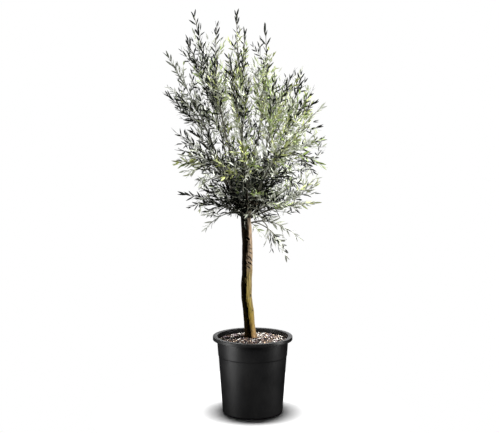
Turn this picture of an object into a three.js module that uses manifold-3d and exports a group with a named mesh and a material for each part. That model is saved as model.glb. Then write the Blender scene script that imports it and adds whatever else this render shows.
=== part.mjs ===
// A potted olive tree: a clear stem with an open, twiggy crown, in a round nursery pot.
// Millimetres, +Z up. The origin is the centre of the pot's flat underside, and -Y is the front.
import * as THREE from "three";
import { mergeVertices } from "three/addons/utils/BufferGeometryUtils.js";
import Module from "manifold-3d";

const wasm = await Module();
wasm.setup();

const { degToRad, lerp, clamp, mapLinear, smoothstep } = THREE.MathUtils;

// Clearance left between two pieces that touch on the real plant.
const SEAT_GAP = 0.3;

// Vertices of one piece nearer than this are the same vertex.
const MERGE_DISTANCE = 1e-4;

// The pot: a tapered wall, a small step below the rim, and a wide lip with a skirt.
const POT = {
  height: 338,
  lipRadius: 175,
  lipInnerRadius: 155.5,
  lipThickness: 4,
  lipRounding: 3,
  skirtDrop: 22,
  skirtThickness: 3.5,
  collarRadius: 157.5,
  stepHeight: 250,
  stepRadius: 149.8,
  stepOut: 2,
  stepRise: 4,
  footRadius: 132.8,
  footRounding: 9,
  footBend: 0.3,
  wall: 3,
  floor: 4,
  segments: 28,
};

// The potting mix: it fills the pot, and rises a little towards the trunk.
const SOIL = { belowRim: 22, moundHeight: 14, seatRadius: 47, shoulderRadius: 96, floorCorner: 8 };
const SOIL_EDGE = POT.height - SOIL.belowRim;
const GROUND = SOIL_EDGE + SOIL.moundHeight;

// Pieces of bark that lie half sunk in the mix.
const CHIPS = {
  count: 9,
  inner: 62,
  outer: 134,
  length: 26,
  width: 13,
  thickness: 6,
  tilt: 0.17,
  sizeSpread: 0.3,
};

// The trunk: its centre line as height, then how far across and back it stands off the pot's
// axis, and its radius, with a flare and lobes at the foot and a swollen head where it forks.
const TRUNK = {
  line: [
    [GROUND + SEAT_GAP, -9, 2],
    [390, -14, 2],
    [450, -19, 0],
    [510, -27, -2],
    [570, -28, -3],
    [650, -24, -1],
    [760, -24, 2],
    [850, -29, 2],
    [925, -33, 0],
  ],
  footRadius: 24,
  waistRadius: 22,
  headRadius: 27,
  headRise: 60,
  flareHeight: 48,
  flare: 0.34,
  lobes: 5,
  lobeDepth: 0.35,
  flutes: 3,
  fluting: 0.045,
  flutePitch: 90,
  sides: 13,
  rings: 18,
  footRings: 1.25,
};
const HEAD = 925;
const HALVINGS = 24;

// Each bough leaves the trunk at a height, or its parent bough at a share of its length, and
// ends at a tip: across, back, and above the floor.
const BOUGHS = [
  { name: "bough_middle", from: "trunk", at: 915, tip: [-43, 6, 1075], base: 12 },
  { name: "bough_left", from: "trunk", at: 880, tip: [-112, -12, 1000], base: 10.5 },
  { name: "bough_right", from: "trunk", at: 872, tip: [52, 2, 995], base: 10.5 },
  { name: "bough_back", from: "trunk", at: 880, tip: [-33, 82, 990], base: 9 },
  { name: "bough_front", from: "trunk", at: 872, tip: [-24, -80, 975], base: 9 },
  { name: "bough_left_back", from: "trunk", at: 896, tip: [-96, 66, 1015], base: 9 },
  { name: "bough_right_back", from: "trunk", at: 893, tip: [28, 68, 1000], base: 9 },
  { name: "bough_right_front", from: "trunk", at: 893, tip: [28, -66, 985], base: 9 },
  { name: "bough_left_front", from: "trunk", at: 896, tip: [-88, -66, 985], base: 9 },
  { name: "limb_outer_left", from: "bough_left", at: 0.6, tip: [-136, 18, 1075], base: 6.5 },
  { name: "limb_tall_left", from: "bough_left_back", at: 0.6, tip: [-112, 32, 1105], base: 6.5 },
  { name: "limb_inner_left", from: "bough_middle", at: 0.4, tip: [-80, -24, 1105], base: 6.5 },
  { name: "limb_centre_right", from: "bough_middle", at: 0.45, tip: [-6, 18, 1100], base: 6.5 },
  { name: "limb_front_upper", from: "bough_front", at: 0.6, tip: [-36, -68, 1070], base: 6 },
  { name: "limb_right_inner", from: "bough_right_front", at: 0.6, tip: [40, -42, 1075], base: 6 },
  { name: "limb_right_tall", from: "bough_right", at: 0.6, tip: [82, 40, 1070], base: 6 },
  { name: "limb_back_left", from: "bough_back", at: 0.6, tip: [-74, 94, 1070], base: 6 },
  { name: "limb_back_right", from: "bough_right_back", at: 0.6, tip: [50, 68, 1080], base: 6 },
];
const BOUGH = { taper: 0.52, sides: 5, steps: 3, sweep: 0.6, lift: 0.32, fork: 0.4, lean: 0.6 };

// How far shoots stand off their stem, in degrees, and how much they turn up or down as they grow.
const HABITS = {
  rising: { angle: 26, spread: 20, rise: 0.32 },
  spreading: { angle: 42, spread: 28, rise: 0.06 },
  hanging: { angle: 40, spread: 30, rise: -0.36 },
};

// The masses of foliage. The stem reaches the first tip, and a long side shoot each other one.
const MASSES = [
  { name: "foliage_tall_left", from: "limb_tall_left", habit: "rising", reach: 120,
    tips: [[-258, 50, 1752], [-284, -30, 1630], [-214, 20, 1560]] },
  { name: "foliage_outer_left", from: "limb_outer_left", habit: "rising", reach: 120,
    tips: [[-370, -20, 1564], [-388, 70, 1405], [-318, -84, 1380]] },
  { name: "foliage_middle_left", from: "bough_left", habit: "spreading", reach: 130,
    tips: [[-345, -20, 1233], [-328, -100, 1102], [-330, 62, 1150]] },
  { name: "foliage_low_left", from: "trunk", at: 862, habit: "hanging", reach: 110,
    tips: [[-307, -50, 965], [-211, -30, 803], [-262, 60, 912]] },
  { name: "foliage_inner_left", from: "limb_inner_left", habit: "rising", reach: 115,
    tips: [[-151, -60, 1697], [-164, -150, 1530], [-196, -84, 1452]] },
  { name: "foliage_leader", from: "bough_middle", habit: "rising", reach: 115,
    tips: [[-72, 30, 1752], [-33, -40, 1658], [-104, 70, 1560]] },
  { name: "foliage_centre_right", from: "limb_centre_right", habit: "rising", reach: 115,
    tips: [[53, 20, 1686], [50, 90, 1511], [2, -66, 1530]] },
  { name: "foliage_right_inner", from: "limb_right_inner", habit: "rising", reach: 110,
    tips: [[178, -60, 1493], [91, -150, 1469], [70, -30, 1420]] },
  { name: "foliage_right_tall", from: "limb_right_tall", habit: "rising", reach: 115,
    tips: [[216, 40, 1498], [263, -10, 1418], [283, 70, 1365]] },
  { name: "foliage_right_outer", from: "bough_right", habit: "spreading", reach: 125,
    tips: [[305, -40, 1345], [322, 50, 1205], [313, -50, 1075]] },
  { name: "foliage_right_low", from: "trunk", at: 846, habit: "spreading", reach: 120,
    tips: [[287, 40, 920], [272, -90, 1004], [296, 96, 1040]] },
  { name: "foliage_right_hanging", from: "trunk", at: 826, habit: "hanging", reach: 90,
    tips: [[213, -40, 765], [151, 30, 669], [53, -60, 750]] },
  { name: "foliage_front_low", from: "trunk", at: 852, habit: "hanging", reach: 110,
    tips: [[-85, -250, 893], [22, -236, 884]] },
  { name: "foliage_front", from: "bough_front", habit: "spreading", reach: 130,
    tips: [[-51, -338, 1180], [-123, -315, 1040], [24, -330, 1090]] },
  { name: "foliage_front_right", from: "bough_right_front", habit: "spreading", reach: 130,
    tips: [[197, -265, 1220], [191, -255, 1010], [110, -290, 1130]] },
  { name: "foliage_front_left", from: "bough_left_front", habit: "spreading", reach: 130,
    tips: [[-254, -250, 1240], [-213, -245, 1000], [-300, -170, 1130]] },
  { name: "foliage_front_upper", from: "limb_front_upper", habit: "rising", reach: 120,
    tips: [[-100, -240, 1540], [-20, -250, 1400]] },
  { name: "foliage_back_low", from: "trunk", at: 856, habit: "hanging", reach: 110,
    tips: [[-58, 270, 863], [81, 240, 819]] },
  { name: "foliage_back_left", from: "limb_back_left", habit: "rising", reach: 125,
    tips: [[-214, 190, 1640], [-270, 240, 1400], [-120, 200, 1480]] },
  { name: "foliage_back_side", from: "bough_left_back", habit: "spreading", reach: 130,
    tips: [[-262, 250, 1151], [-262, 190, 992], [-320, 150, 1080]] },
  { name: "foliage_back_right", from: "limb_back_right", habit: "rising", reach: 125,
    tips: [[218, 150, 1512], [60, 200, 1450], [250, 190, 1330]] },
  { name: "foliage_back_corner", from: "bough_right_back", habit: "spreading", reach: 130,
    tips: [[210, 250, 1160], [238, 190, 992]] },
  { name: "foliage_back", from: "bough_back", habit: "spreading", reach: 130,
    tips: [[-35, 338, 1170], [40, 315, 1020], [-120, 310, 1080]] },
  { name: "foliage_low_front_left", from: "trunk", at: 850, habit: "spreading", reach: 110,
    tips: [[-215, -165, 1015], [-115, -225, 1000]] },
  { name: "foliage_low_front_right", from: "trunk", at: 850, habit: "spreading", reach: 110,
    tips: [[165, -180, 1015], [65, -235, 990]] },
  { name: "foliage_low_back_left", from: "trunk", at: 850, habit: "spreading", reach: 110,
    tips: [[-200, 175, 1000], [-115, 225, 960]] },
  { name: "foliage_low_back_right", from: "trunk", at: 850, habit: "spreading", reach: 110,
    tips: [[165, 180, 1010], [75, 235, 980]] },
];

// Stems, shoots and leaves of the masses. A leaf here is larger than life, and stands for a spray.
// Lengths in millimetres, angles in degrees, and the rest as shares of the length.
const GOLDEN_ANGLE = 137.5;
const STEM = { base: 4.8, tip: 2.2, sides: 4, steps: 4, leave: 0.45, lift: 0.55, leafy: 0.12 };
const SIDE = { base: 3.2, tip: 2.2, sides: 3, steps: 2, forks: [0.16, 0.34], leafy: 0.18, lean: 0.45 };
const SHOOT = {
  base: 2.2,
  tip: 1.8,
  sides: 3,
  steps: 1,
  spacing: 240,
  first: 1.1,
  last: 0.5,
  lengthSpread: 0.2,
  placeSpread: 0.25,
  turnSpread: 20,
  cuts: [1, 0.75, 0.5],
  tests: [0.4, 0.7, 1],
  leafy: 0.5,
  least: 0.3,
};
const LEAF = {
  length: 84,
  width: 25,
  thickness: 3.2,
  ridge: 0.7,
  widest: 0.4,
  pastStem: 0.9,
  angle: 38,
  angleSpread: 7,
  tipAngle: 3,
  turnSpread: 23,
  sizeSpread: 0.15,
  spacing: 70,
  sunk: 0.4,
  rootVolume: 2,
};

// How the masses keep apart, in millimetres, and how many straight pieces a bend is measured by.
const SPACE = { margin: 3, limbGap: 2, samples: 8, trunkSamples: 24 };

const MATERIALS = {
  pot: new THREE.MeshStandardMaterial({ color: 0x1b1c1d, roughness: 0.55, metalness: 0 }),
  soil: new THREE.MeshStandardMaterial({ color: 0x54443a, roughness: 1, metalness: 0 }),
  bark: new THREE.MeshStandardMaterial({ color: 0xa58f66, roughness: 0.85, metalness: 0 }),
  leaf: new THREE.MeshStandardMaterial({ color: 0x5d6b4c, roughness: 0.55, metalness: 0 }),
};

// The same draws between 0 and 1 on every run, from a multiplicative generator.
function seededRandom(seed) {
  const modulus = 2147483647;
  let state = (seed * 7919 + 104729) % modulus;
  return () => {
    state = (state * 48271) % modulus;
    return state / modulus;
  };
}

// A draw within a spread on either side of a middle value.
const around = (random, middle, spread) => middle + spread * (2 * random() - 1);

const vector = ([x, y, z]) => new THREE.Vector3(x, y, z);
const UP = vector([0, 0, 1]);
const ACROSS = vector([1, 0, 0]);

// A bend flatter than this share of its length squared counts as straight.
const STRAIGHT = 1e-3;

// A closed geometry as a solid, once its shared vertices are merged.
function solidOf(geometry) {
  const bare = geometry.clone();
  bare.deleteAttribute("normal");
  bare.deleteAttribute("uv");
  const merged = mergeVertices(bare, MERGE_DISTANCE);
  return new wasm.Manifold(
    new wasm.Mesh({
      numProp: 3,
      vertProperties: new Float32Array(merged.attributes.position.array),
      triVerts: new Uint32Array(merged.index.array),
    }),
  );
}

// A solid as a geometry.
function geometryOf(solid) {
  const mesh = solid.getMesh();
  const geometry = new THREE.BufferGeometry();
  const places = new THREE.Float32BufferAttribute(mesh.vertProperties, mesh.numProp);
  geometry.setAttribute("position", places);
  geometry.setIndex(new THREE.Uint32BufferAttribute(mesh.triVerts, 1));
  geometry.computeVertexNormals();
  return geometry;
}

// The one largest body of a solid: loose scraps go, and a hollow sealed inside it is filled.
function largestBody(solid) {
  return solid.decompose().reduce((best, body) => (body.volume() > best.volume() ? body : best));
}

// A profile of radius and height, turned about the pot's axis.
function turned(profile) {
  const points = profile.map(([radius, height]) => new THREE.Vector2(radius, height));
  return new THREE.LatheGeometry(points, POT.segments).rotateX(Math.PI / 2);
}

// The line of the pot's wall from the foot to the lip, set in from the outer face by inset.
function wallLine(inset) {
  return [
    [POT.footRadius - inset, POT.footRounding],
    [POT.stepRadius - inset, POT.stepHeight],
    [POT.stepRadius + POT.stepOut - inset, POT.stepHeight + POT.stepRise],
    [POT.collarRadius - inset, POT.height - POT.lipThickness],
  ];
}

// The radius of that line at a height.
function wallRadius(height, inset) {
  const line = wallLine(inset);
  const next = Math.max(1, line.findIndex(([, z]) => z >= height));
  const [[r0, z0], [r1, z1]] = [line[next - 1], line[next]];
  return mapLinear(height, z0, z1, r0, r1);
}

function makePot() {
  const skirtFoot = POT.height - POT.skirtDrop;
  const skirtInner = POT.lipRadius - POT.skirtThickness;
  const bend = POT.footRounding * POT.footBend;
  return turned([
    [0, 0],
    [POT.footRadius - POT.footRounding, 0],
    [POT.footRadius - bend, bend],
    ...wallLine(0),
    [skirtInner, POT.height - POT.lipThickness],
    [skirtInner, skirtFoot],
    [POT.lipRadius, skirtFoot],
    [POT.lipRadius, POT.height - POT.lipRounding],
    [POT.lipRadius - POT.lipRounding, POT.height],
    [POT.lipInnerRadius + POT.lipRounding, POT.height],
    ...wallLine(POT.wall).reverse(),
    [POT.footRadius - POT.footRounding - POT.wall, POT.floor],
    [0, POT.floor],
  ]);
}

// The height of the potting mix at a distance from the pot's axis.
function soilHeight(radius) {
  const share = mapLinear(radius, SOIL.seatRadius, wallRadius(SOIL_EDGE, POT.wall), 0, 1);
  return lerp(GROUND, SOIL_EDGE, clamp(share, 0, 1));
}

function makeChips() {
  const random = seededRandom(CHIPS.count);
  const chips = [];
  for (let i = 0; i < CHIPS.count; i++) {
    const bearing = degToRad(GOLDEN_ANGLE * i);
    const radius = lerp(CHIPS.inner, CHIPS.outer, Math.sqrt((i + random()) / CHIPS.count));
    const size = around(random, 1, CHIPS.sizeSpread);
    const chip = new THREE.BoxGeometry(CHIPS.length * size, CHIPS.width * size, CHIPS.thickness);
    chip.rotateX(around(random, 0, CHIPS.tilt));
    chip.rotateY(around(random, 0, CHIPS.tilt));
    chip.rotateZ(random() * Math.PI);
    chip.translate(radius * Math.cos(bearing), radius * Math.sin(bearing), soilHeight(radius));
    chips.push(solidOf(chip));
  }
  return chips;
}

// The potting mix: clear of the pot's wall and floor all round, with chips fused on top.
function makeSoil() {
  const clear = POT.wall + SEAT_GAP;
  const floor = POT.floor + SEAT_GAP;
  const corner = POT.footRounding + SOIL.floorCorner;
  const solid = solidOf(
    turned([
      [0, floor],
      [POT.footRadius - POT.footRounding - clear - SEAT_GAP, floor],
      [wallRadius(corner, clear + SEAT_GAP), corner],
      ...wallLine(clear).slice(1, 3),
      [wallRadius(SOIL_EDGE, clear), SOIL_EDGE],
      [SOIL.shoulderRadius, soilHeight(SOIL.shoulderRadius)],
      [SOIL.seatRadius, GROUND],
      [0, GROUND],
    ]),
  );
  return geometryOf(makeChips().reduce((whole, chip) => whole.add(chip), solid));
}

const trunkLine = new THREE.CatmullRomCurve3(TRUNK.line.map(([z, x, y]) => vector([x, y, z])));

// The trunk's centre at a height above the floor, found by halving the line.
function trunkCentre(height) {
  let [low, high] = [0, 1];
  for (let i = 0; i < HALVINGS; i++) {
    const middle = (low + high) / 2;
    if (trunkLine.getPoint(middle).z < height) low = middle;
    else high = middle;
  }
  return trunkLine.getPoint(low).setZ(height);
}

// The trunk's radius at a height and a bearing round it.
function trunkRadius(height, bearing) {
  const share = (height - GROUND) / (HEAD - GROUND);
  const shaft = lerp(TRUNK.footRadius, TRUNK.waistRadius, share);
  const swell = smoothstep(height, HEAD - TRUNK.headRise, HEAD);
  const foot = Math.max(0, 1 - (height - GROUND) / TRUNK.flareHeight) ** 2;
  const lobe = 1 - TRUNK.lobeDepth * (1 - Math.cos(TRUNK.lobes * bearing));
  const flute = TRUNK.fluting * Math.cos(TRUNK.flutes * bearing + height / TRUNK.flutePitch);
  return lerp(shaft, TRUNK.headRadius, swell) * (1 + TRUNK.flare * foot * lobe + flute);
}

// A round bar whose rings are moved on to the trunk's centre line, and stay level, so that the
// foot is a flat cut. It can be made thicker all round by grow.
function makeTrunk(grow = 0) {
  const geometry = new THREE.CylinderGeometry(1, 1, 1, TRUNK.sides, TRUNK.rings).rotateX(Math.PI / 2);
  const foot = GROUND + SEAT_GAP;
  const at = geometry.attributes.position;
  for (let i = 0; i < at.count; i++) {
    const share = clamp(at.getZ(i) + 0.5, 0, 1);
    const height = lerp(foot, HEAD, share ** TRUNK.footRings);
    const bearing = Math.atan2(at.getY(i), at.getX(i));
    const onRim = Math.hypot(at.getX(i), at.getY(i)) > 0.5;
    const radius = onRim ? trunkRadius(height, bearing) + grow : 0;
    const centre = trunkCentre(height);
    const rise = share === 1 ? grow : 0;
    const across = centre.x + radius * Math.cos(bearing);
    const back = centre.y + radius * Math.sin(bearing);
    at.setXYZ(i, across, back, height + rise);
  }
  return geometry;
}

// A bend from start to end that sets out towards control, with the normal of its own plane. Its
// stations are where the rings of its bar lie.
function bendOf(start, control, end, steps) {
  const curve = new THREE.QuadraticBezierCurve3(start, control, end);
  const stations = curve.getPoints(steps);
  const chord = end.clone().sub(start);
  const normal = control.clone().sub(start).cross(chord);
  if (normal.length() < STRAIGHT * chord.lengthSq()) {
    normal.crossVectors(chord, Math.abs(chord.z) > Math.abs(chord.x) ? ACROSS : UP);
  }
  return { curve, stations, normal: normal.normalize(), length: curve.getLength() };
}

// The middle of a bend's bar at a share of its length.
function middleOf(bend, share) {
  const steps = bend.stations.length - 1;
  const step = Math.min(Math.floor(share * steps), steps - 1);
  return bend.stations[step].clone().lerp(bend.stations[step + 1], share * steps - step);
}

// A direction that stands off a bend at a share of its length, by an angle and a bearing round it.
function standOff(bend, share, angle, bearing) {
  const along = bend.curve.getTangent(share);
  const across = new THREE.Vector3().crossVectors(along, bend.normal);
  return along
    .multiplyScalar(Math.cos(angle))
    .addScaledVector(bend.normal, Math.sin(angle) * Math.cos(bearing))
    .addScaledVector(across, Math.sin(angle) * Math.sin(bearing));
}

// A tapering bar along a bend: a cylinder whose rings are laid square to the curve.
function limbGeometry(bend, base, tip, sides, grow = 0) {
  const steps = bend.stations.length - 1;
  const geometry = new THREE.CylinderGeometry(1, 1, 1, sides, steps).rotateX(Math.PI / 2);
  const at = geometry.attributes.position;
  for (let i = 0; i < at.count; i++) {
    const share = clamp(at.getZ(i) + 0.5, 0, 1);
    const along = bend.curve.getTangent(share);
    const across = new THREE.Vector3().crossVectors(along, bend.normal);
    const radius = lerp(base, tip, share) + grow;
    const place = bend.curve
      .getPoint(share)
      .addScaledVector(bend.normal, at.getY(i) * radius)
      .addScaledVector(across, -at.getX(i) * radius);
    at.setXYZ(i, place.x, place.y, place.z);
  }
  return geometry;
}

// A bough sweeps out of the trunk and then up. A limb forks off along its parent bough.
function boughBend(row, bends) {
  const end = vector(row.tip);
  if (row.from === "trunk") {
    const start = trunkCentre(row.at);
    const control = start.clone().lerp(end, BOUGH.sweep).setZ(lerp(start.z, end.z, BOUGH.lift));
    return bendOf(start, control, end, BOUGH.steps);
  }
  const parent = bends.get(row.from).curve;
  const start = parent.getPoint(row.at);
  const straight = end.clone().sub(start);
  const leave = parent.getTangent(row.at).lerp(straight.clone().normalize(), BOUGH.lean).normalize();
  const control = start.clone().addScaledVector(leave, straight.length() * BOUGH.fork);
  return bendOf(start, control, end, BOUGH.steps);
}

// A bend that leaves start along a direction, and stops short of a tip by its last leaf.
function bendTo(start, leave, tip, steps) {
  const straight = tip.clone().sub(start);
  const control = start.clone().addScaledVector(leave, straight.length() * STEM.leave);
  const last = tip.clone().sub(control).setLength(LEAF.length * LEAF.pastStem);
  return bendOf(start, control, tip.clone().sub(last), steps);
}

// The carriers of a mass: its stem, and a long side shoot to each further tip.
function massCarriers(row, bends) {
  const tips = row.tips.map(vector);
  let start;
  let leave;
  if (row.from === "trunk") {
    start = trunkCentre(row.at);
    leave = tips[0].clone().sub(start).setZ(0).normalize().addScaledVector(UP, STEM.lift).normalize();
  } else {
    leave = bends.get(row.from).curve.getTangent(1);
    start = bends.get(row.from).curve.getPoint(1).addScaledVector(leave, SEAT_GAP);
  }
  const stem = bendTo(start, leave, tips[0], STEM.steps);
  const sides = tips.slice(1).map((tip, i) => {
    const from = middleOf(stem, SIDE.forks[i]);
    const straight = tip.clone().sub(from).normalize();
    const turn = stem.curve.getTangent(SIDE.forks[i]).lerp(straight, SIDE.lean).normalize();
    return bendTo(from, turn, tip, SIDE.steps);
  });
  return [stem, ...sides];
}

// The distance from a place to the nearest point of a chain of straight pieces.
function distanceTo(place, chain) {
  const piece = new THREE.Line3();
  const nearest = new THREE.Vector3();
  let best = Infinity;
  for (let i = 1; i < chain.length; i++) {
    piece.set(chain[i - 1], chain[i]).closestPointToPoint(place, true, nearest);
    best = Math.min(best, nearest.distanceTo(place));
  }
  return best;
}

const bends = new Map();
for (const row of BOUGHS) bends.set(row.name, boughBend(row, bends));
const carriers = MASSES.map((row) => massCarriers(row, bends));
const carrierChains = carriers.map((set) => set.map((bend) => bend.curve.getPoints(SPACE.samples)));
const limbChains = BOUGHS.map((row) => [bends.get(row.name).curve.getPoints(SPACE.samples), row.base]);
limbChains.push([trunkLine.getPoints(SPACE.trunkSamples), TRUNK.headRadius]);

// True where a place is in the space of one mass: nearer to its own carriers than to any other's,
// and clear of the trunk and the boughs.
function inOwnSpace(place, index) {
  const own = Math.min(...carrierChains[index].map((chain) => distanceTo(place, chain)));
  const nearerToAnother = carrierChains.some(
    (set, other) => other !== index && set.some((chain) => distanceTo(place, chain) < own + SPACE.margin),
  );
  const onLimb = limbChains.some(([chain, radius]) => distanceTo(place, chain) < radius + SPACE.limbGap);
  return !nearerToAnother && !onLimb;
}

// The shoots along one carrier, each turned a golden angle on from the last. They shorten towards
// its tip, and one that would leave the mass's space is cut back or left out.
function growShoots(row, index, carrier, seed) {
  const random = seededRandom(seed);
  const habit = HABITS[row.habit];
  const count = Math.round(carrier.length / SHOOT.spacing);
  const shoots = [];
  for (let i = 0; i < count; i++) {
    const share = (i + around(random, 0.5, SHOOT.placeSpread)) / count;
    const angle = degToRad(habit.angle + habit.spread * random());
    const bearing = degToRad(around(random, GOLDEN_ANGLE * i, SHOOT.turnSpread));
    const vigour = lerp(SHOOT.first, SHOOT.last, share) * around(random, 1, SHOOT.lengthSpread);
    const leave = standOff(carrier, share, angle, bearing);
    const start = middleOf(carrier, share);
    for (const kept of SHOOT.cuts) {
      const length = Math.min(row.reach * vigour, carrier.length * (1 - share)) * kept;
      if (length < row.reach * SHOOT.least) break;
      const control = start.clone().addScaledVector(leave, length / 2);
      const end = start.clone().addScaledVector(leave, length);
      end.addScaledVector(UP, habit.rise * length);
      const bend = bendOf(start, control, end, SHOOT.steps);
      if (SHOOT.tests.every((part) => inOwnSpace(bend.curve.getPoint(part), index))) {
        shoots.push(bend);
        break;
      }
    }
  }
  return shoots;
}

// A pointed leaf with a ridge along its upper side: its root is at the origin, it runs out along
// +X, and its upper side faces +Z.
function leafGeometry(scale) {
  const half = (LEAF.width * scale) / 2;
  const middle = LEAF.length * LEAF.widest * scale;
  const rise = LEAF.thickness * LEAF.ridge;
  const drop = LEAF.thickness - rise;
  const places = [
    [0, 0, 0],
    [LEAF.length * scale, 0, 0],
    [middle, half, -drop],
    [middle, -half, -drop],
    [middle, 0, rise],
  ];
  const geometry = new THREE.BufferGeometry();
  geometry.setAttribute("position", new THREE.Float32BufferAttribute(places.flat(), 3));
  geometry.setIndex([0, 3, 4, 0, 4, 2, 1, 4, 3, 1, 2, 4, 0, 2, 3, 1, 3, 2]);
  return geometry;
}

// A leaf laid from its root along a direction, or nothing where it would leave its mass's space.
function layLeaf(root, direction, facing, scale, index) {
  const side = new THREE.Vector3().crossVectors(facing, direction).normalize();
  const face = new THREE.Vector3().crossVectors(direction, side);
  const half = (LEAF.width * scale) / 2;
  const middle = root.clone().addScaledVector(direction, LEAF.length * LEAF.widest * scale);
  const outline = [
    root.clone().addScaledVector(direction, LEAF.length * scale),
    middle.clone().addScaledVector(side, half),
    middle.clone().addScaledVector(side, -half),
  ];
  if (!outline.every((place) => inOwnSpace(place, index))) return null;
  const turn = new THREE.Matrix4().makeBasis(direction, side, face).setPosition(root);
  return leafGeometry(scale).applyMatrix4(turn);
}

// Leaves in opposite pairs along a bend, each pair a quarter turn on, and one leaf at its tip.
// Their roots are sunk past the twig's middle.
function growLeaves(bend, leafy, index, seed) {
  const random = seededRandom(seed);
  const count = Math.max(1, Math.round((bend.length * (1 - leafy)) / LEAF.spacing));
  const leaves = [];
  for (let i = 0; i <= count; i++) {
    const share = lerp(leafy, 1, i / count);
    const quarter = degToRad(around(random, 90 * i, LEAF.turnSpread));
    const bearings = i < count ? [quarter, quarter + Math.PI] : [quarter];
    for (const bearing of bearings) {
      const scale = around(random, 1, LEAF.sizeSpread);
      const angle = i < count ? around(random, LEAF.angle, LEAF.angleSpread) : LEAF.tipAngle;
      const direction = standOff(bend, share, degToRad(angle), bearing);
      const root = middleOf(bend, share).addScaledVector(direction, -LEAF.sunk);
      const facing = i < count ? bend.curve.getTangent(share) : bend.normal;
      const leaf = layLeaf(root, direction, facing, scale, index);
      if (leaf) leaves.push(leaf);
    }
  }
  return leaves;
}

// The twigs of one mass: its stem, its side shoots, and the shoots that grow on them.
function growTwigs(row, index) {
  return carriers[index].flatMap((bend, i) => {
    const size = i === 0 ? STEM : SIDE;
    const seed = 1000 * (index + 1) + 100 * i;
    const shoots = growShoots(row, index, bend, seed + 1);
    const twigs = shoots.map((shoot, k) => ({ bend: shoot, size: SHOOT, seed: seed + 2 + k }));
    return [{ bend, size, seed }, ...twigs];
  });
}

// One mass: twigs and leaves fused into one body. A leaf that would cut through another leaf or
// another twig is left out.
function makeMass(row, index, trunkCut) {
  const twigs = growTwigs(row, index);
  const solids = twigs.map(({ bend, size }) => {
    return solidOf(limbGeometry(bend, size.base, size.tip, size.sides));
  });
  for (const { bend, size, seed } of twigs) {
    for (const leaf of growLeaves(bend, size.leafy, index, seed).map(solidOf)) {
      const clear = solids.every((other) => leaf.intersect(other).volume() < LEAF.rootVolume);
      if (clear) solids.push(leaf);
    }
  }
  const solid = wasm.Manifold.union(solids);
  return geometryOf(largestBody(row.from === "trunk" ? solid.subtract(trunkCut) : solid));
}

function named(name, geometry, material) {
  const mesh = new THREE.Mesh(geometry, material);
  mesh.name = name;
  return mesh;
}

// The trunk and the boughs. Each bough is cut clear of its parent and of the boughs made before.
function makeWood(trunkCut) {
  const wood = new THREE.Group();
  wood.add(named("trunk", makeTrunk(), MATERIALS.bark));
  let cut = trunkCut;
  for (const row of BOUGHS) {
    const bend = bends.get(row.name);
    const tip = row.base * BOUGH.taper;
    const solid = solidOf(limbGeometry(bend, row.base, tip, BOUGH.sides)).subtract(cut);
    wood.add(named(row.name, geometryOf(largestBody(solid)), MATERIALS.bark));
    cut = cut.add(solidOf(limbGeometry(bend, row.base, tip, BOUGH.sides, SEAT_GAP)));
  }
  return wood;
}

const container = new THREE.Group();
container.add(named("pot", makePot(), MATERIALS.pot));
container.add(named("potting_mix", makeSoil(), MATERIALS.soil));

const trunkCut = solidOf(makeTrunk(SEAT_GAP));
const crown = new THREE.Group();
MASSES.forEach((row, index) => {
  crown.add(named(row.name, makeMass(row, index, trunkCut), MATERIALS.leaf));
});

const group = new THREE.Group();
group.name = "potted_olive_tree";
group.add(container, makeWood(trunkCut), crown);

export default group;
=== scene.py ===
import math

import bmesh
import bpy
import numpy as np
from mathutils import Matrix, Vector, noise


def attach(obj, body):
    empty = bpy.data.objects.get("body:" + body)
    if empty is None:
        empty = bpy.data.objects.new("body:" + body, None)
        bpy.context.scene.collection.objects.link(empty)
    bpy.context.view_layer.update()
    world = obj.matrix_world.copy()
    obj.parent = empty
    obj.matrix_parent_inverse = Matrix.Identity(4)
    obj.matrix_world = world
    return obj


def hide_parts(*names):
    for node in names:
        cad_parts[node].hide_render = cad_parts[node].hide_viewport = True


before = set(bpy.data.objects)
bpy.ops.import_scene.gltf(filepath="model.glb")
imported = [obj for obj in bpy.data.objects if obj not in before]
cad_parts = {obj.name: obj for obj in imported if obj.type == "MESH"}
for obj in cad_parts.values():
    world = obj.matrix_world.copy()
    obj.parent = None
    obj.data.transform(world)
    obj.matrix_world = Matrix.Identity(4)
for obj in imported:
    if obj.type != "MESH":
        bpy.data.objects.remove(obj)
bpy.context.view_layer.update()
mm = 0.001
near = 1e-4  # points closer than this count as one place


# small helpers

def newPiece(name, bm, materials):
    mesh = bpy.data.meshes.new(name)
    bm.to_mesh(mesh)
    bm.free()
    return linkMesh(name, mesh, materials)


def linkMesh(name, mesh, materials):
    piece = bpy.data.objects.new(name, mesh)
    bpy.context.scene.collection.objects.link(piece)
    for material in materials:
        mesh.materials.append(material)
    return piece


def meshPiece(name, points, faces, slots, materials):
    mesh = bpy.data.meshes.new(name)
    mesh.from_pydata(points, [], faces)
    piece = linkMesh(name, mesh, materials)
    mesh.polygons.foreach_set("material_index", np.array(slots, np.int32))
    return piece


def shadeSmooth(piece, angle):
    piece.data.shade_smooth()
    piece.data.set_sharp_from_angle(angle=math.radians(angle))


def dress(piece, slotName, *nodes):
    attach(piece, "root")
    if nodes:
        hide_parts(*nodes)
    print("made", piece.name, len(piece.data.polygons), "faces")
    return piece


def lerp(a, b, share):
    return a + (b - a) * share


def around(random, middle, spread, count=None):
    return middle + spread * (2 * random.random(count) - 1)


def smoothStep(value, low, high):
    share = np.clip((value - low) / (high - low), 0, 1)
    return share * share * (3 - 2 * share)


def unit(rows):
    return rows / np.maximum(np.linalg.norm(rows, axis=-1, keepdims=True), 1e-12)


# material helpers

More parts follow.
